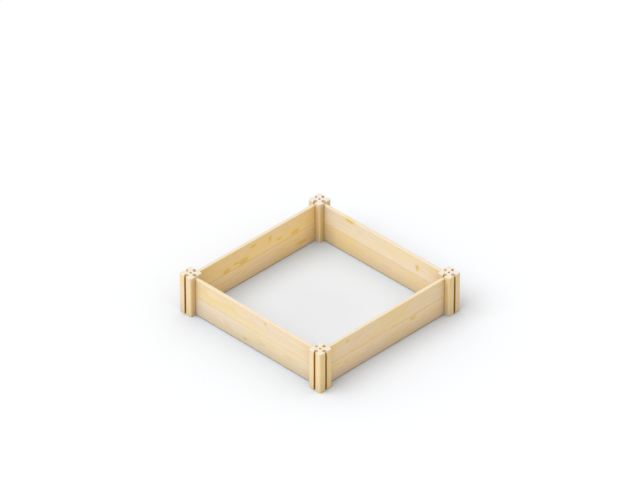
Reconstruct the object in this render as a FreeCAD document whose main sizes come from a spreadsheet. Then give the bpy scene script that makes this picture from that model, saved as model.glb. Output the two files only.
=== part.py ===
import FreeCAD, Part
import math
import os

import Sketcher

# Square raised garden bed of planed pine. Four corner posts each have a keyhole slot down
# the middle of every face, and two boards per side slide down between them, held by the
# round keys that are milled on the boards' ends. The two outer slots of each post stay
# free for a neighbouring bed, and a dowel hole in each post's top takes a second tier.
#
# Frame: +Z up, the ground is z = 0, the origin is the middle of the bed's footprint,
# and the front is the -Y side. Millimetres.

DIMENSIONS = {
    "post_spacing": 1100,       # between the centres of neighbouring posts
    "post_side": 100,           # square section of a post
    "post_corner_radius": 12,   # rounding of a post's upright corners
    "post_end_bevel": 3,        # bevel round a post's top and bottom
    "post_proud": 17,           # how far a post stands above the top board
    "slot_width": 16,           # narrow mouth of a slot
    "mouth_radius": 2,          # rounding of the mouth's two edges
    "socket_offset": 34,        # from a post's centre to the round part of a slot
    "socket_radius": 13,        # round part of a slot
    "dowel_diameter": 16,
    "dowel_depth": 50,
    "board_thickness": 24,
    "board_height": 130,
    "board_edge_radius": 3,     # easing of a board's long edges
    "boards_per_side": 2,
    "ground_gap": 6,            # air under the lower boards
    "shoulder_gap": 1,          # between a board's shoulder and the post's face
    "key_radius": 12,           # round key on a board's end
    "key_neck": 14,             # thickness between a board's shoulder and its key
}
CUTTER_MARGIN = 5               # how far a cutting outline runs past the wood
DRILL_POINT_ANGLE = 118

# A sketch's own numbers for its X axis, its origin, and the points of an edge.
X_AXIS = -1
ORIGIN = (-1, 1)
START, END, CENTRE = 1, 2, 3

SAME_PLACE = 1e-4               # points nearer than this are one point
LEAST_CUT = 1                   # a cut that removes less volume has missed the wood

BOARD_SIDES = ("front", "right", "back", "left")    # each a quarter turn on from the last
BOARD_ROWS = ("lower", "upper")

doc = FreeCAD.newDocument("RaisedGardenBed")
sheet = doc.addObject("Spreadsheet::Sheet", "Dimensions")
for row, (alias, number) in enumerate(DIMENSIONS.items(), start=1):
    sheet.set(f"A{row}", alias)
    sheet.set(f"B{row}", str(number))
    sheet.setAlias(f"B{row}", alias)
doc.recompute()


def size(alias):
    """Return a driving dimension's present value."""
    return float(sheet.get(alias))


POST_HALF = "Dimensions.post_side / 2"
POST_HEIGHT = (
    "Dimensions.ground_gap + Dimensions.boards_per_side * Dimensions.board_height"
    " + Dimensions.post_proud"
)
KEY_OFFSET = "(Dimensions.post_spacing / 2 - Dimensions.socket_offset)"
SHOULDER_OFFSET = (
    "(Dimensions.post_spacing / 2 - Dimensions.post_side / 2 - Dimensions.shoulder_gap)"
)


def new_sketch(body, name, plane_role):
    """Add a sketch on one of the body's own origin planes."""
    sketch = body.newObject("Sketcher::SketchObject", name)
    plane = next(f for f in body.Origin.OriginFeatures if f.Role == plane_role)
    sketch.AttachmentSupport = [(plane, "")]
    sketch.MapMode = "FlatFace"
    return sketch


def bind(sketch, name, constraint, expression):
    """Add a named dimension to a sketch and drive it from the sheet."""
    index = sketch.addConstraint(constraint)
    sketch.renameConstraint(index, name)
    sketch.setExpression(f"Constraints.{name}", expression)


def shared_ends(edge, following):
    """Return which end of each of two edges is where they meet."""
    for end, point in ((END, edge.EndPoint), (START, edge.StartPoint)):
        for start, other in ((START, following.StartPoint), (END, following.EndPoint)):
            if point.distanceToPoint(other) < SAME_PLACE:
                return end, start
    raise ValueError("the outline's edges don't meet")


def draw_outline(sketch, edges, smooth=()):
    """Draw edges end to end as a closed outline; straight ones stay level or upright.

    An edge whose index is in smooth runs into the next one without a corner.
    """
    for edge in edges:
        sketch.addGeometry(edge, False)
    for index, edge in enumerate(edges):
        following = (index + 1) % len(edges)
        end, start = shared_ends(edge, edges[following])
        join = "Tangent" if index in smooth else "Coincident"
        sketch.addConstraint(Sketcher.Constraint(join, index, end, following, start))
        if isinstance(edge, Part.LineSegment):
            level = abs(edge.StartPoint.y - edge.EndPoint.y) < SAME_PLACE
            kind = "Horizontal" if level else "Vertical"
            sketch.addConstraint(Sketcher.Constraint(kind, index))


def line(start, end):
    return Part.LineSegment(FreeCAD.Vector(*start, 0), FreeCAD.Vector(*end, 0))


def arc(centre, radius, start_angle, end_angle):
    """Return an arc that runs anticlockwise from one angle to the other."""
    circle = Part.Circle(FreeCAD.Vector(*centre, 0), FreeCAD.Vector(0, 0, 1), radius)
    return Part.ArcOfCircle(circle, start_angle, end_angle)


def bind_span(sketch, name, kind, low_point, high_point, half, expression):
    """Set two points, one each side of the sketch's origin, by their distance from it."""
    bind(sketch, f"{name}_low", Sketcher.Constraint(kind, *low_point, *ORIGIN, half),
         expression)
    bind(sketch, f"{name}_high", Sketcher.Constraint(kind, *ORIGIN, *high_point, half),
         expression)


def draw_rounded_rectangle(sketch, width_alias, radius_alias, low, high):
    """Draw a rectangle with round corners, centred on the sketch's Y axis, and set its width.

    The lower side is edge 0 and the upper side edge 4; the caller sets their heights.
    """
    half = size(width_alias) / 2
    radius = size(radius_alias)
    quarter = math.pi / 2
    centres = [(x_sign * (half - radius), y)
               for x_sign, y in ((-1, low + radius), (1, low + radius), (1, high - radius),
                                 (-1, high - radius))]
    edges = []
    for index, (first, second) in enumerate(zip(centres, centres[1:] + centres[:1])):
        turn = (index - 1) * quarter
        out_x, out_y = radius * round(math.cos(turn)), radius * round(math.sin(turn))
        edges.append(line((first[0] + out_x, first[1] + out_y),
                          (second[0] + out_x, second[1] + out_y)))
        edges.append(arc(second, radius, turn, turn + quarter))
    draw_outline(sketch, edges, smooth=range(len(edges)))
    bind_span(sketch, "width", "DistanceX", (6, START), (2, START), half,
              f"Dimensions.{width_alias} / 2")
    bind(sketch, "radius", Sketcher.Constraint("Radius", 1, radius), f"Dimensions.{radius_alias}")
    for other_corner in (3, 5, 7):
        sketch.addConstraint(Sketcher.Constraint("Equal", 1, other_corner))


def level_faces(shape):
    """Name a solid's flat level faces, such as a post's top and bottom."""
    return [f"Face{index}" for index, face in enumerate(shape.Faces, start=1)
            if face.BoundBox.ZLength < SAME_PLACE]


def add_upward_cut(body, name, sketch):
    """Cut a sketch's outline upwards through the whole body, and check that it cut."""
    before = body.Shape.Volume
    cut = body.newObject("PartDesign::Pocket", name)
    cut.Profile = sketch
    cut.Type = "ThroughAll"
    cut.Reversed = True
    body.Tip = cut
    doc.recompute()
    if before - cut.Shape.Volume < LEAST_CUT:
        raise RuntimeError(f"{body.Label}: {name} removes nothing")
    return cut


def draw_keyhole(sketch):
    """Draw one slot: a round socket inside the post, and a mouth that opens out in its +X face."""
    centre = size("socket_offset")
    radius = size("socket_radius")
    half = size("slot_width") / 2
    face = size("post_side") / 2
    rounding = size("mouth_radius")
    flare = half + rounding
    outside = face + CUTTER_MARGIN
    lip = math.asin(half / radius)
    join = centre + radius * math.cos(lip)
    quarter = math.pi / 2
    draw_outline(sketch, [
        arc((centre, 0), radius, lip, 2 * math.pi - lip),
        line((join, -half), (face - rounding, -half)),
        arc((face - rounding, -flare), rounding, 0, quarter),
        line((face, -flare), (outside, -flare)),
        line((outside, -flare), (outside, flare)),
        line((outside, flare), (face, flare)),
        arc((face - rounding, flare), rounding, -quarter, 0),
        line((face - rounding, half), (join, half)),
    ], smooth=(1, 6))
    sketch.addConstraint(Sketcher.Constraint("PointOnObject", 0, CENTRE, X_AXIS))
    bind(sketch, "socket_offset", Sketcher.Constraint("DistanceX", *ORIGIN, 0, CENTRE, centre),
         "Dimensions.socket_offset")
    bind(sketch, "socket_radius", Sketcher.Constraint("Radius", 0, radius),
         "Dimensions.socket_radius")
    bind_span(sketch, "mouth", "DistanceY", (1, END), (7, START), half,
              "Dimensions.slot_width / 2")
    bind_span(sketch, "flare", "DistanceY", (4, START), (4, END), flare,
              "Dimensions.slot_width / 2 + Dimensions.mouth_radius")
    for name, rounded, lip_end in (("low", 2, (3, START)), ("high", 6, (5, END))):
        bind(sketch, f"rounding_{name}", Sketcher.Constraint("Radius", rounded, rounding),
             "Dimensions.mouth_radius")
        bind(sketch, f"face_{name}", Sketcher.Constraint("DistanceX", *ORIGIN, *lip_end, face),
             POST_HALF)
    bind(sketch, "outside", Sketcher.Constraint("DistanceX", *ORIGIN, 4, START, outside),
         f"{POST_HALF} + {CUTTER_MARGIN}")


def make_post(label, x_sign, y_sign):
    """Build one corner post, standing on the ground at its corner of the bed."""
    body = doc.addObject("PartDesign::Body", label)
    body.Label = label
    half = size("post_side") / 2

    section = new_sketch(body, "PostSection", "XY_Plane")
    draw_rounded_rectangle(section, "post_side", "post_corner_radius", -half, half)
    bind_span(section, "depth", "DistanceY", (0, START), (4, START), half, POST_HALF)
    blank = body.newObject("PartDesign::Pad", "PostBlank")
    blank.Profile = section
    blank.setExpression("Length", POST_HEIGHT)
    doc.recompute()

    ends = body.newObject("PartDesign::Chamfer", "BevelledEnds")
    ends.Base = (blank, level_faces(blank.Shape))
    ends.setExpression("Size", "Dimensions.post_end_bevel")
    body.Tip = ends
    doc.recompute()

    keyhole = new_sketch(body, "Keyhole", "XY_Plane")
    draw_keyhole(keyhole)
    slot = add_upward_cut(body, "Slot", keyhole)
    slots = body.newObject("PartDesign::PolarPattern", "SlotInEachFace")
    slots.Originals = [slot]
    axis = next(f for f in body.Origin.OriginFeatures if f.Role == "Z_Axis")
    slots.Axis = (axis, [""])
    slots.Angle = 360
    slots.Occurrences = 4
    body.Tip = slots
    doc.recompute()
    one_slot = ends.Shape.Volume - slot.Shape.Volume
    if abs(ends.Shape.Volume - slots.Shape.Volume - 4 * one_slot) > LEAST_CUT:
        raise RuntimeError(f"{label}: the pattern doesn't cut four slots")

    centre_mark = new_sketch(body, "DowelCentre", "XY_Plane")
    centre_mark.setExpression("AttachmentOffset.Base.z", POST_HEIGHT)
    radius = size("dowel_diameter") / 2
    centre_mark.addGeometry(
        Part.Circle(FreeCAD.Vector(0, 0, 0), FreeCAD.Vector(0, 0, 1), radius), False)
    centre_mark.addConstraint(Sketcher.Constraint("Coincident", 0, CENTRE, *ORIGIN))
    bind(centre_mark, "dowel_radius", Sketcher.Constraint("Radius", 0, radius),
         "Dimensions.dowel_diameter / 2")
    doc.recompute()
    undrilled = body.Shape.Volume
    hole = body.newObject("PartDesign::Hole", "DowelHole")
    hole.Profile = centre_mark
    doc.recompute()
    hole.DepthType = "Dimension"
    hole.setExpression("Diameter", "Dimensions.dowel_diameter")
    hole.setExpression("Depth", "Dimensions.dowel_depth")
    hole.DrillPoint = "Angled"
    hole.DrillPointAngle = DRILL_POINT_ANGLE
    body.Tip = hole
    doc.recompute()
    if undrilled - hole.Shape.Volume < LEAST_CUT:
        raise RuntimeError(f"{label}: the dowel hole removes nothing")

    body.setExpression("Placement.Base.x", f"{x_sign} * Dimensions.post_spacing / 2")
    body.setExpression("Placement.Base.y", f"{y_sign} * Dimensions.post_spacing / 2")
    return body


def draw_key_waste(sketch):
    """Draw the wood milled off a board's +X end, which leaves its neck and round key."""
    centre = size("post_spacing") / 2 - size("socket_offset")
    radius = size("key_radius")
    neck = size("key_neck") / 2
    shoulder = size("post_spacing") / 2 - size("post_side") / 2 - size("shoulder_gap")
    outside = centre + radius + CUTTER_MARGIN
    edge = size("board_thickness") / 2 + CUTTER_MARGIN
    neck_angle = math.asin(neck / radius)
    join = centre - radius * math.cos(neck_angle)
    draw_outline(sketch, [
        arc((centre, 0), radius, neck_angle - math.pi, math.pi - neck_angle),
        line((join, neck), (shoulder, neck)),
        line((shoulder, neck), (shoulder, edge)),
        line((shoulder, edge), (outside, edge)),
        line((outside, edge), (outside, -edge)),
        line((outside, -edge), (shoulder, -edge)),
        line((shoulder, -edge), (shoulder, -neck)),
        line((shoulder, -neck), (join, -neck)),
    ])
    sketch.addConstraint(Sketcher.Constraint("PointOnObject", 0, CENTRE, X_AXIS))
    sketch.addConstraint(Sketcher.Constraint("Vertical", 1, END, 6, END))
    bind(sketch, "key_offset", Sketcher.Constraint("DistanceX", *ORIGIN, 0, CENTRE, centre),
         KEY_OFFSET)
    bind(sketch, "key_radius", Sketcher.Constraint("Radius", 0, radius),
         "Dimensions.key_radius")
    bind_span(sketch, "neck", "DistanceY", (6, END), (1, END), neck, "Dimensions.key_neck / 2")
    bind(sketch, "shoulder", Sketcher.Constraint("DistanceX", *ORIGIN, 1, END, shoulder),
         SHOULDER_OFFSET)
    bind(sketch, "outside", Sketcher.Constraint("DistanceX", *ORIGIN, 4, START, outside),
         f"{KEY_OFFSET} + Dimensions.key_radius + {CUTTER_MARGIN}")
    bind_span(sketch, "edge", "DistanceY", (4, END), (4, START), edge,
              f"Dimensions.board_thickness / 2 + {CUTTER_MARGIN}")


def make_board(label, side_index, row_index):
    """Build one board, lying along its side of the bed and on top of the row below."""
    body = doc.addObject("PartDesign::Body", label)
    body.Label = label
    height = size("board_height")

    section = new_sketch(body, "BoardSection", "YZ_Plane")
    draw_rounded_rectangle(section, "board_thickness", "board_edge_radius", 0, height)
    section.addConstraint(Sketcher.Constraint("PointOnObject", 0, START, X_AXIS))
    bind(section, "height", Sketcher.Constraint("DistanceY", *ORIGIN, 4, START, height),
         "Dimensions.board_height")
    plank = body.newObject("PartDesign::Pad", "Plank")
    plank.Profile = section
    plank.SideType = "Symmetric"
    plank.setExpression("Length", f"2 * ({KEY_OFFSET} + Dimensions.key_radius)")
    doc.recompute()

    waste = new_sketch(body, "KeyWaste", "XY_Plane")
    draw_key_waste(waste)
    key = add_upward_cut(body, "Key", waste)
    keys = body.newObject("PartDesign::Mirrored", "KeyOnEachEnd")
    keys.Originals = [key]
    middle = next(f for f in body.Origin.OriginFeatures if f.Role == "YZ_Plane")
    keys.MirrorPlane = (middle, [""])
    body.Tip = keys
    doc.recompute()
    one_end = plank.Shape.Volume - key.Shape.Volume
    if abs(plank.Shape.Volume - keys.Shape.Volume - 2 * one_end) > LEAST_CUT:
        raise RuntimeError(f"{label}: the mirror doesn't cut the second key")

    turn = math.radians(90 * side_index)
    x_sign = round(math.sin(turn))
    y_sign = -round(math.cos(turn))
    body.Placement.Rotation = FreeCAD.Rotation(FreeCAD.Vector(0, 0, 1), 90 * side_index)
    body.setExpression("Placement.Base.x", f"{x_sign} * Dimensions.post_spacing / 2")
    body.setExpression("Placement.Base.y", f"{y_sign} * Dimensions.post_spacing / 2")
    body.setExpression("Placement.Base.z",
                       f"Dimensions.ground_gap + {row_index} * Dimensions.board_height")
    return body


pieces = []
for y_sign, depth_name in ((-1, "front"), (1, "back")):
    for x_sign, width_name in ((-1, "left"), (1, "right")):
        pieces.append(make_post(f"post_{depth_name}_{width_name}", x_sign, y_sign))
for side_index, side_name in enumerate(BOARD_SIDES):
    for row_index, row_name in enumerate(BOARD_ROWS):
        pieces.append(make_board(f"board_{side_name}_{row_name}", side_index, row_index))
doc.recompute()

for item in doc.Objects:
    if "Invalid" in item.State or "Error" in item.State:
        raise RuntimeError(f"{item.Label} failed: {item.State}")
for piece in pieces:
    if piece.Shape.isNull() or not piece.Shape.isValid() or len(piece.Shape.Solids) != 1:
        raise RuntimeError(f"{piece.Label} isn't one sound solid")

os.makedirs("parts", exist_ok=True)
for piece in pieces:
    piece.Shape.exportStep(f"parts/{piece.Label}.step")
    box = piece.Shape.BoundBox
    print(f"{piece.Label}: volume {piece.Shape.Volume / 1000:.1f} cm3,"
          f" x {box.XMin:.1f} to {box.XMax:.1f}, y {box.YMin:.1f} to {box.YMax:.1f},"
          f" z {box.ZMin:.1f} to {box.ZMax:.1f}")
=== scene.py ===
"""Looks, light and camera for the raised garden bed. Every length is in metres."""
import math

import bpy
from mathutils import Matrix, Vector


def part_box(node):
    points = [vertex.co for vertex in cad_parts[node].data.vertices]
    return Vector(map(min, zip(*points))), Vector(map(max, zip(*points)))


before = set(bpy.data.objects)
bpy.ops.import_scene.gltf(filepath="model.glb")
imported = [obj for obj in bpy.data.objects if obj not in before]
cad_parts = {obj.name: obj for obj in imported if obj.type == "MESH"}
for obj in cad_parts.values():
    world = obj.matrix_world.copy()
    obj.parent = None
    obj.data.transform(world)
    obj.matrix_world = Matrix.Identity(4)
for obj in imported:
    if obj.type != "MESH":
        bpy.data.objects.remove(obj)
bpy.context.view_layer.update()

# --- Pieces ----------------------------------------------------------------------------------

SIDES = ("front", "right", "back", "left")
POSTS = ("post_front_left", "post_front_right", "post_back_left", "post_back_right")
BOARDS = tuple(f"board_{side}_{row}" for side in SIDES for row in ("lower", "upper"))

# --- Pine ------------------------------------------------------------------------------------

# Colours of the wood and of its knots.
EARLYWOOD = (0.850, 0.705, 0.480, 1)
LATEWOOD = (0.770, 0.560, 0.315, 1)
KNOT_HEART = (0.81, 0.56, 0.17, 1)
KNOT_RIM = (0.60, 0.34, 0.11, 1)

# Tints, which multiply the wood's colour.
HONEY = (1.02, 0.955, 0.74, 1)
BLUSH = (1.0, 0.955, 1.0, 1)
KNOT_HALO = (0.98, 0.93, 0.50, 1)
RESIN_DASH = (0.80, 0.66, 0.46, 1)
# Pale end grain, partly painted light: post tops are made paler, as if lit from above.
CUT_GRAIN_AND_TOP_LIGHT = (1.05, 1.17, 1.55, 1)
# Painted shade: a post's sides facing along X, either way, are darker and yellower, as if in
# shade.
SIDE_SHADE = (0.93, 0.905, 0.80, 1)
# Painted light: a board's narrow edges, its top lit from above, are made paler and less yellow.
NARROW_EDGE_LIGHT = (1.03, 1.09, 1.07, 1)
# Painted shade: the slots' walls are tinted dark brown deep down, where the slots lie in shade.
SLOT_SHADE = (0.95, 0.78, 0.09, 1)
SEAM_SHADE = (0.62, 0.43, 0.18, 1)
# Partly wear, partly a painted highlight: edges and the slots' mouths are made lighter and
# cooler.
ARRIS_WEAR_AND_HIGHLIGHT = (1.04, 1.05, 1.10, 1)
CORNER_SHADE = (0.56, 0.42, 0.12, 1)
GROUND_SHADE = (0.38, 0.38, 0.41, 1)

# How much of a colour or tint shows, from 0 to 1. Rings differ from place to place.
RING_STRENGTH = (0.28, 0.64)
DASH_STRENGTH = 0.45
KNOT_HEART_STRENGTH = 0.55
KNOT_RIM_STRENGTH = 0.38
# The corners' shade: at a post's top, deep down in it, and on a board's narrow edges.
TOP_SHADE, DEEP_SHADE, NARROW_SHADE = 0.08, 0.60, 0.40
# How far the tone wanders between blush and honey, and how dark and bright the fibres are.
TONE_WANDER = 0.40
FIBRE_GREY = (0.955, 1.035)

# Noises: features per metre along, across and deep into the grain, detail and roughness.
NOISES = {
    "sway": ((1.6, 4, 4), 2, 0.5),
    "ripple": ((9, 45, 45), 3, 0.5),
    "fibre": ((14, 620, 620), 3, 0.6),
    "tone": ((3.2, 9, 9), 2, 0.45),
    "dash": ((55, 1300, 1300), 1, 0.5),
    "strength": ((0.8, 30, 30), 1, 0.5),
    "ring_width": ((55, 1, 1), 1, 0.5),
    "knot_edge": ((60, 60, 60), 2, 0.5),
    "paper": ((30, 30, 30), 3, 0.5),
}
# The span of a noise's values over which its smooth step rises.
SPANS = {
    "fibre": (0.25, 0.75),
    "tone": (0.30, 0.70),
    "dash": (0.66, 0.74),
    "strength": (0.20, 0.80),
    "paper": (0.30, 0.70),
}
# How far the noises that bend the grain move it, along, across and deep.
DRIFTS = {
    "sway": (0, 0.060, 0.045),
    "ripple": (0, 0.0035, 0.0035),
    "knot_edge": (0.006, 0.006, 0),
}
# Each piece lies this far from the last one in the noises: along, across and deep.
SEED_SHIFT = (7.1, 3.7, 5.3)

# A growth ring: its width, by how many rings its noise shifts it, and the parts of it over
# which the latewood sets in and ends.
RING_WIDTH = 0.0042
RING_SHIFT = 2.2
RING_RISE, RING_FALL = (0.30, 0.88), (0.90, 1.0)
# The log's heart lies this far across from a board's middle, and beyond its inner face.
HEART_ACROSS_BOARD, HEART_BEHIND_BOARD = 0.01, 0.055
# Posts are sawn beside the heart, so that their tops show arcs.
HEART_BESIDE_POST = (0.072, 0.060)

# Parts of a knot, in its radius: where its heart ends, its rim starts and ends and its halo
# ends, and the width and strength of its own rings.
HEART_END = (0.75, 1.05)
RIM_START, RIM_END = (0.70, 0.95), (1.0, 1.25)
HALO_END = (0.8, 2.7)
KNOT_RING_WIDTH, KNOT_RING_STRENGTH = 0.15, 0.9

# How much of a surface's normal lies along an axis when it starts to face it, and when it does.
FACING = (0.55, 0.85)
# How far from an edge its wear and painted highlight start to fade, and end.
ARRIS_WIDTH = (0.0012, 0.004)
MOUTH_HALF_WIDTH = 0.008
# How far behind a post's faces its slots' walls start to show painted light and shade, and fully
# do.
WALL_DEPTH = (0.0025, 0.010)
# Below a post's top, the walls are painted pale down to the first depth, as if lit near the top,
# and painted as dark as they get, as shade, from the second.
PALE_DEPTH, DARK_DEPTH = 0.012, 0.026

# How far off a thing may be to shade a corner or the seam between two boards.
SHADE_REACH = 0.16
SEAM_REACH = 0.010
SHADE_SAMPLES = 8
GROUND_SHADE_TOP = 0.14

# Weights of what changes the wood's roughness, and of what raises its surface with the fibres.
WOOD_ROUGHNESS = 0.62
ROUGHENING = {"latewood": -0.10, "fibre": 0.12, "cut": 0.14, "knot": -0.16}
RAISING = {"latewood": 0.5, "knot": 0.8, "dash": -0.4}
BUMP_STRENGTH, BUMP_HEIGHT = 0.35, 0.0003
WOOD_SPECULAR = 0.35

# Knots of a board: place along it from its middle, height from its middle, radius, and how
# much longer than wide along the grain.
KNOTS = {
    "board_left_upper": (
        (-0.262, -0.050, 0.013, 1.6),
        (-0.180, -0.030, 0.006, 2.6),
        (-0.115, -0.044, 0.015, 2.0),
        (-0.030, 0.026, 0.006, 3.5),
        (0.110, 0.010, 0.013, 0.7),
        (0.190, -0.030, 0.005, 3.5),
        (0.325, -0.046, 0.011, 2.2),
    ),
    "board_left_lower": ((0.385, -0.020, 0.009, 3.0),),
    "board_back_upper": (
        (-0.283, 0.054, 0.008, 3.6),
        (0.295, -0.006, 0.014, 0.75),
    ),
    "board_back_lower": (),
    "board_front_upper": ((0.097, 0.036, 0.006, 1.5),),
    "board_front_lower": ((-0.075, -0.030, 0.007, 1.6),),
    "board_right_upper": ((-0.330, 0.030, 0.006, 1.6),),
    "board_right_lower": ((0.227, 0.046, 0.007, 2.4),),
}

# How yellow a piece is at its two ends, from 0, blush, to 1, honey, and the tint of its log.
# Both are partly painted light: the left and right boards are mostly set warmer, as if in shade,
# and the front and back boards paler and cooler, as if in light.
TONES = {
    "board_left_upper": (1.00, 0.85, (1.065, 1.025, 0.90, 1)),
    "board_left_lower": (0.65, 0.65, (1.035, 1.01, 0.95, 1)),
    "board_back_upper": (0.15, 0.35, (1.02, 1.10, 1.17, 1)),
    "board_back_lower": (0.60, 0.30, (0.985, 1.01, 1.00, 1)),
    "board_front_upper": (0.70, 0.10, (0.955, 0.985, 1.02, 1)),
    "board_front_lower": (0.35, 0.05, (0.955, 1.025, 1.11, 1)),
    "board_right_upper": (0.60, 0.60, (0.95, 0.945, 0.915, 1)),
    "board_right_lower": (0.45, 0.40, (0.98, 0.97, 0.99, 1)),
}
POST_TONE = (0.80, 0.80, (0.97, 0.985, 1.03, 1))


class Shader:
    """Adds nodes to one new material. Most methods give the output to use next."""

    def __init__(self, name):
        self.material = bpy.data.materials.new(name)
        self.material.use_nodes = True
        self.tree = self.material.node_tree

    def put(self, inputs, values):
        """Links or sets each named or numbered input."""
        for key, value in values.items():
            if isinstance(value, bpy.types.NodeSocket):
                self.tree.links.new(value, inputs[key])
            else:
                inputs[key].default_value = value

    def put_surface(self, values):
        self.put(self.tree.nodes["Principled BSDF"].inputs, values)

    def node(self, kind, inputs, **settings):
        node = self.tree.nodes.new(kind)
        for key, value in settings.items():
            setattr(node, key, value)
        self.put(node.inputs, inputs)
        return node

    def coordinates(self, kind):
        return self.node("ShaderNodeTexCoord", {}).outputs[kind]

    def math(self, operation, *values):
        inputs = dict(enumerate(values))
        return self.node("ShaderNodeMath", inputs, operation=operation).outputs[0]

    def times(self, first, second):
        return self.math("MULTIPLY", first, second)

    def rest_of(self, value):
        return self.math("SUBTRACT", 1.0, value)

    def add_up(self, start, *terms):
        """start, plus each term's value times its weight."""
        for value, weight in terms:
            start = self.math("MULTIPLY_ADD", value, weight, start)
        return start

    def vector(self, operation, *values):
        inputs = dict(enumerate(values))
        return self.node("ShaderNodeVectorMath", inputs, operation=operation).outputs[0]

    def length(self, value):
        node = self.node("ShaderNodeVectorMath", {0: value}, operation="LENGTH")
        return node.outputs["Value"]

    def split(self, value):
        return self.node("ShaderNodeSeparateXYZ", {0: value}).outputs

    def join(self, x, y, z):
        return self.node("ShaderNodeCombineXYZ", {0: x, 1: y, 2: z}).outputs[0]

    def step(self, value, low, high, to_low=0.0, to_high=1.0):
        """A smooth step of value, from to_low at low to to_high at high."""
        inputs = {
            "Value": value,
            "From Min": low,
            "From Max": high,
            "To Min": to_low,
            "To Max": to_high,
        }
        return self.node("ShaderNodeMapRange", inputs, interpolation_type="SMOOTHSTEP").outputs[0]

    def fade(self, value, low, high):
        """A smooth step of value down, from 1 at low to 0 at high."""
        return self.step(value, low, high, 1.0, 0.0)

    def noise(self, name, place):
        """The outputs of the named noise: a value, and a colour that serves as a vector."""
        per_metre, detail, roughness = NOISES[name]
        stretched = self.vector("MULTIPLY", place, per_metre)
        inputs = {"Vector": stretched, "Scale": 1.0, "Detail": detail, "Roughness": roughness}
        return self.node("ShaderNodeTexNoise", inputs).outputs

    def noise_step(self, name, place, to_low=0.0, to_high=1.0):
        return self.step(self.noise(name, place)[0], *SPANS[name], to_low, to_high)

    def drift(self, name, place, start):
        """start, moved by what the named noise says at place."""
        centred = self.vector("SUBTRACT", self.noise(name, place)[1], (0.5, 0.5, 0.5))
        return self.vector("MULTIPLY_ADD", centred, DRIFTS[name], start)

    def mix(self, factor, first, second, blend="MIX"):
        inputs = {0: factor, 6: first, 7: second}
        settings = {"data_type": "RGBA", "blend_type": blend}
        return self.node("ShaderNodeMix", inputs, **settings).outputs[2]

    def tint(self, factor, colour, by):
        return self.mix(factor, colour, by, "MULTIPLY")

    def closed_in(self, reach, samples):
        """How closed in a place is by what lies within reach: 0 in the open, 1 down a hole."""
        node = self.node("ShaderNodeAmbientOcclusion", {"Distance": reach}, samples=samples)
        return self.rest_of(node.outputs["AO"])


def piece_frame(node):
    """(middle, half size, axes) of a piece, the last two in the order along, across, deep."""
    low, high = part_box(node)
    middle, half = (low + high) / 2, (high - low) / 2
    # Rounded, so that the two equal sides of a post keep the order of their axes.
    deep, across, along = sorted(range(3), key=lambda axis: round(half[axis], 3))
    axes = (along, across, deep)
    return middle, [half[axis] for axis in axes], axes


def grain_place(shader, middle, axes):
    """The place from the piece's middle, turned so that X runs along the grain."""
    parts = shader.split(shader.vector("SUBTRACT", shader.coordinates("Object"), middle))
    return shader.join(*(parts[axis] for axis in axes))


def knot_fields(shader, place, knots):
    """Where knots show their hearts, rims and halos, and how far they push the rings out."""
    place = shader.drift("knot_edge", place, place)
    fields = [0.0, 0.0, 0.0, 0.0]
    for along, across, radius, stretch in knots:
        offset = shader.vector("SUBTRACT", place, (along, across, 0))
        scaled = shader.vector("MULTIPLY", offset, (1 / radius / stretch, 1 / radius, 0))
        distance = shader.length(scaled)
        heart = shader.fade(distance, *HEART_END)
        rim_start = shader.step(distance, *RIM_START)
        rim = shader.times(rim_start, shader.fade(distance, *RIM_END))
        rings = shader.times(heart, shader.math("PINGPONG", distance, KNOT_RING_WIDTH))
        rim = shader.add_up(rim, (rings, KNOT_RING_STRENGTH / KNOT_RING_WIDTH))
        halo = shader.fade(distance, *HALO_END)
        new_fields = (heart, rim, halo, shader.times(halo, radius))
        fields = [shader.math("ADD", old, new) for old, new in zip(fields, new_fields)]
    return fields


def ring_field(shader, place, heart, push):
    """Latewood, 0 to 1, of growth rings round the log's heart, which wanders along the piece."""
    bent = shader.drift("sway", place, place)
    bent = shader.drift("ripple", place, bent)
    outward = shader.vector("MULTIPLY", shader.vector("SUBTRACT", bent, (0, *heart)), (0, 1, 1))
    radius = shader.math("ADD", shader.length(outward), push)
    shift = shader.noise("ring_width", shader.join(radius, 0.0, 0.0))[0]
    count = shader.add_up(shader.math("DIVIDE", radius, RING_WIDTH), (shift, RING_SHIFT))
    phase = shader.math("FRACT", count)
    return shader.times(shader.step(phase, *RING_RISE), shader.fade(phase, *RING_FALL))


def distances(shader, place, half):
    """Along each axis, how far a place is from the piece's middle, and from its nearer face."""
    from_middle = [shader.math("ABSOLUTE", part) for part in shader.split(place)]
    from_face = [shader.math("SUBTRACT", size, far) for size, far in zip(half, from_middle)]
    return from_middle, from_face


def arris_field(shader, place, half, slotted):
    """1 at the piece's edges, where two of its faces meet, and 0 on its faces."""
    from_middle, (along, across, deep) = distances(shader, place, half)
    behind_face = shader.math("MINIMUM", across, deep)
    long_edge = shader.math("MAXIMUM", across, deep)
    end_edge = shader.math("MAXIMUM", along, behind_face)
    nearest = shader.math("MINIMUM", long_edge, end_edge)
    if slotted:
        off_slot = shader.math("MINIMUM", *from_middle[1:])
        off_mouth = shader.math("ABSOLUTE", shader.math("SUBTRACT", off_slot, MOUTH_HALF_WIDTH))
        mouth_edge = shader.math("MAXIMUM", off_mouth, behind_face)
        nearest = shader.math("MINIMUM", nearest, mouth_edge)
    return shader.fade(nearest, *ARRIS_WIDTH)


def facing_field(shader, axis):
    """1 where the surface faces along that axis, either way."""
    normal = shader.split(shader.coordinates("Normal"))
    return shader.step(shader.math("ABSOLUTE", normal[axis]), *FACING)


def slot_field(shader, place, half, cut):
    """1 on the walls of a post's slots and of its dowel hole, behind its outer faces."""
    from_face = distances(shader, place, half)[1]
    behind = shader.step(shader.math("MINIMUM", *from_face[1:]), *WALL_DEPTH)
    return shader.times(behind, shader.rest_of(cut))


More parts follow.
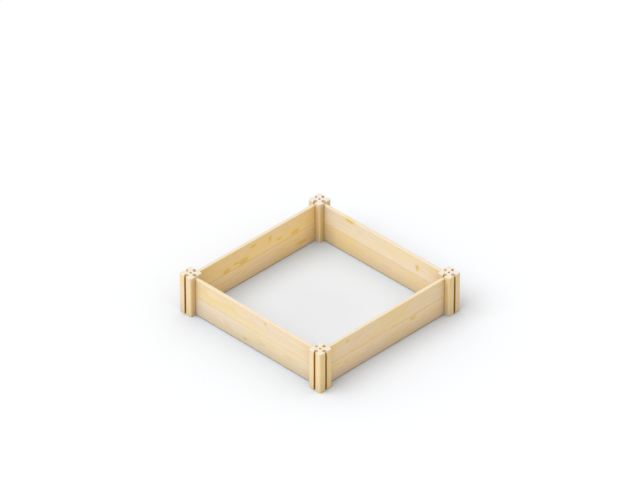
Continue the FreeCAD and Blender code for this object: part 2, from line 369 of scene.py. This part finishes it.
def shade_colour(shader):
    """The colour of the painted shade in corners: grey near the ground, warm above."""
    height = shader.split(shader.coordinates("Object"))[2]
    return shader.mix(shader.step(height, 0.0, GROUND_SHADE_TOP), GROUND_SHADE, CORNER_SHADE)


def planed_wood(shader, grain, along, half_length, tone, latewood, fibre, narrow):
    """The colour of clean wood: rings, a tone that wanders between blush and honey, fibres, and
    painted light on the narrow edges.
    """
    start, end, piece_and_light_tint = tone
    # The narrow edges get no honey and no piece tint, as part of their painted light.
    broad = shader.rest_of(narrow)
    strength = shader.noise_step("strength", grain, *RING_STRENGTH)
    colour = shader.mix(shader.times(latewood, strength), EARLYWOOD, LATEWOOD)
    # The piece's own tint, partly painted light.
    colour = shader.tint(broad, colour, piece_and_light_tint)
    wander = shader.noise_step("tone", grain, -TONE_WANDER, TONE_WANDER)
    yellow = shader.step(along, -half_length, half_length, start, end)
    yellow = shader.times(shader.math("ADD", yellow, wander), broad)
    colour = shader.tint(1.0, colour, shader.mix(yellow, BLUSH, HONEY))
    # Painted light on the narrow edges.
    colour = shader.tint(narrow, colour, NARROW_EDGE_LIGHT)
    grey = shader.step(fibre, *SPANS["fibre"], *FIBRE_GREY)
    return shader.tint(1.0, colour, shader.join(grey, grey, grey))


def tint_post(shader, colour, along, half_length, walls, side_shaded):
    """(colour, shown): a post's colour, with painted light and shade, and how much of the
    corners' shade shows on it.
    """
    deep_down = shader.fade(along, half_length - DARK_DEPTH, half_length - PALE_DEPTH)
    shaded_walls = shader.times(walls, deep_down)
    # Painted shade on the post's sides that face along X.
    colour = shader.tint(side_shaded, colour, SIDE_SHADE)
    # Painted shade deep down in the slots.
    colour = shader.tint(shaded_walls, colour, SLOT_SHADE)
    # Painted light: the slots' upper walls are made pale, as if lit near the top.
    colour = shader.tint(shader.math("SUBTRACT", walls, shaded_walls), colour, CUT_GRAIN_AND_TOP_LIGHT)
    return colour, shader.add_up(TOP_SHADE, (deep_down, DEEP_SHADE - TOP_SHADE))


def tint_board(shader, colour, narrow):
    """(colour, shown): a board's colour, and how much of the corners' shade shows on it."""
    colour = shader.tint(shader.closed_in(SEAM_REACH, SHADE_SAMPLES), colour, SEAM_SHADE)
    return colour, shader.add_up(1.0, (narrow, NARROW_SHADE - 1.0))


def put_wood(shader, colour, fields):
    """Puts the wood's colour on the surface, with the roughness and relief of its fields."""
    roughening = [(fields[name], weight) for name, weight in ROUGHENING.items()]
    raising = [(fields[name], weight) for name, weight in RAISING.items()]
    relief = {
        "Strength": BUMP_STRENGTH,
        "Distance": BUMP_HEIGHT,
        "Height": shader.add_up(fields["fibre"], *raising),
    }
    shader.put_surface({
        "Base Color": colour,
        "Roughness": shader.add_up(WOOD_ROUGHNESS, *roughening),
        "Normal": shader.node("ShaderNodeBump", relief).outputs[0],
        "Specular IOR Level": WOOD_SPECULAR,
    })


def pine(node, seed, tone, heart, knots):
    """Planed pine for one piece: knots, resin dashes, pale cuts, painted light, and painted shade
    in corners.
    """
    slotted = node in POSTS
    shader = Shader(f"pine_{node}")
    middle, half, axes = piece_frame(node)
    place = grain_place(shader, middle, axes)
    along = shader.split(place)[0]
    grain = shader.vector("ADD", place, Vector(SEED_SHIFT) * seed)
    shifted_heart = [part + shift * seed for part, shift in zip(heart, SEED_SHIFT[1:])]

    knot, knot_rim, knot_halo, push = knot_fields(shader, place, knots)
    latewood = ring_field(shader, grain, shifted_heart, push)
    fibre = shader.noise("fibre", grain)[0]
    dash = shader.noise_step("dash", grain)
    cut = facing_field(shader, axes[0])
    narrow = 0.0 if slotted else facing_field(shader, axes[1])

    colour = planed_wood(shader, grain, along, half[0], tone, latewood, fibre, narrow)
    colour = shader.tint(shader.times(dash, DASH_STRENGTH), colour, RESIN_DASH)
    # Pale end grain, which also paints the light on the post tops.
    colour = shader.tint(cut, colour, CUT_GRAIN_AND_TOP_LIGHT)
    colour = shader.tint(knot_halo, colour, KNOT_HALO)
    colour = shader.mix(shader.times(knot, KNOT_HEART_STRENGTH), colour, KNOT_HEART)
    colour = shader.mix(shader.times(knot_rim, KNOT_RIM_STRENGTH), colour, KNOT_RIM)
    if slotted:
        walls = slot_field(shader, place, half, cut)
        side_shaded = facing_field(shader, axes[2])
        colour, shown = tint_post(shader, colour, along, half[0], walls, side_shaded)
    else:
        colour, shown = tint_board(shader, colour, narrow)
    # Wear and a painted highlight along the edges and the slots' mouths.
    colour = shader.tint(arris_field(shader, place, half, slotted), colour, ARRIS_WEAR_AND_HIGHLIGHT)
    # Painted shade, as strong as the place is closed in.
    shade = shader.times(shader.closed_in(SHADE_REACH, SHADE_SAMPLES), shown)
    colour = shader.tint(shade, colour, shade_colour(shader))

    fields = {"latewood": latewood, "fibre": fibre, "cut": cut, "knot": knot, "dash": dash}
    put_wood(shader, colour, fields)
    return shader.material


def heart_of_board(node):
    """The log's heart as (across, deep) from the board's middle, on the bed's inner side."""
    middle, half, axes = piece_frame(node)
    inward = -1 if middle[axes[2]] > 0 else 1
    return HEART_ACROSS_BOARD, inward * (half[2] + HEART_BEHIND_BOARD)


def finish_wood():
    """Gives each post and board its own pine, as if each were sawn from its own log."""
    for seed, node in enumerate(POSTS + BOARDS, start=1):
        if node in POSTS:
            material = pine(node, seed, POST_TONE, HEART_BESIDE_POST, ())
        else:
            material = pine(node, seed, TONES[node], heart_of_board(node), KNOTS[node])
        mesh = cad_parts[node].data
        mesh.materials.clear()
        mesh.materials.append(material)


# --- Stage, light and camera -----------------------------------------------------------------

FLOOR_SIZE = 60.0
FLOOR_COLOUR = (0.918, 0.909, 0.891, 1)
FLOOR_ROUGHNESS = (0.88, 0.94)
FLOOR_SPECULAR = 0.0
# Painted shadow: the floor's tint where the bed closes it in, seen only by the camera.
FLOOR_SHADE = (0.47, 0.57, 0.68, 1)
FLOOR_SHADE_REACH = 1.5
FLOOR_SHADE_SAMPLES = 16
# The painted shade of the floor in the middle of the bed, and the radii over which it fades.
FLOOR_INSIDE_SHADE = (0.915, 0.915, 0.918, 1)
FLOOR_INSIDE_END = (0.08, 0.45)

SKY_COLOUR = (1, 1, 1, 1)
SKY_LEVEL = 0.745
SUN_LEVEL = 1.47
SUN_COLOUR = (0.93, 0.98, 1.08)
SUN_ANGLE = math.radians(50)
TOWARDS_SUN = Vector((-0.3, -0.85, 1.3))

CAMERA_TURN = math.radians(44.834)
CAMERA_RISE = math.radians(35.08)
CAMERA_DISTANCE = 38.5836
CAMERA_LENS = 361.79
CAMERA_AIM = Vector((0.0003, 0.0003, 0.5220))
CAMERA_NEAR, CAMERA_FAR = 1.0, 200.0


def build_floor():
    """A pale floor with painted shadow round and inside the bed, seen only by the camera; it
    changes no light.
    """
    bpy.ops.mesh.primitive_plane_add(size=FLOOR_SIZE)
    floor = bpy.context.object
    floor.name = "floor"
    shader = Shader("floor_paper")
    place = shader.coordinates("Object")
    seen = shader.node("ShaderNodeLightPath", {}).outputs["Is Camera Ray"]
    shade = shader.times(seen, shader.closed_in(FLOOR_SHADE_REACH, FLOOR_SHADE_SAMPLES))
    colour = shader.mix(shade, FLOOR_COLOUR, FLOOR_SHADE)
    from_middle = shader.length(shader.vector("MULTIPLY", place, (1, 1, 0)))
    inside_shade = shader.times(seen, shader.fade(from_middle, *FLOOR_INSIDE_END))
    shader.put_surface({
        "Base Color": shader.tint(inside_shade, colour, FLOOR_INSIDE_SHADE),
        "Roughness": shader.noise_step("paper", place, *FLOOR_ROUGHNESS),
        "Specular IOR Level": FLOOR_SPECULAR,
    })
    floor.data.materials.append(shader.material)


def light_studio():
    """An even white sky, and one broad, soft light from the front left."""
    world = bpy.data.worlds.new("studio")
    world.use_nodes = True
    background = world.node_tree.nodes["Background"]
    background.inputs["Color"].default_value = SKY_COLOUR
    background.inputs["Strength"].default_value = SKY_LEVEL
    bpy.context.scene.world = world
    sun = bpy.data.objects.new("softbox", bpy.data.lights.new("softbox", "SUN"))
    sun.data.energy = SUN_LEVEL
    sun.data.color = SUN_COLOUR
    sun.data.angle = SUN_ANGLE
    sun.rotation_euler = TOWARDS_SUN.to_track_quat("Z", "Y").to_euler()
    bpy.context.scene.collection.objects.link(sun)


def place_camera():
    """A long lens, high and far off to the front right."""
    camera = bpy.data.objects.new("camera", bpy.data.cameras.new("camera"))
    flat, up = math.cos(CAMERA_RISE), math.sin(CAMERA_RISE)
    back = Vector((math.sin(CAMERA_TURN) * flat, -math.cos(CAMERA_TURN) * flat, up))
    camera.location = CAMERA_AIM + back * CAMERA_DISTANCE
    camera.rotation_euler = (-back).to_track_quat("-Z", "Y").to_euler()
    camera.data.lens = CAMERA_LENS
    camera.data.clip_start = CAMERA_NEAR
    camera.data.clip_end = CAMERA_FAR
    bpy.context.scene.collection.objects.link(camera)
    bpy.context.scene.camera = camera


finish_wood()
build_floor()
light_studio()
place_camera()
bpy.context.scene.view_settings.view_transform = "Standard"
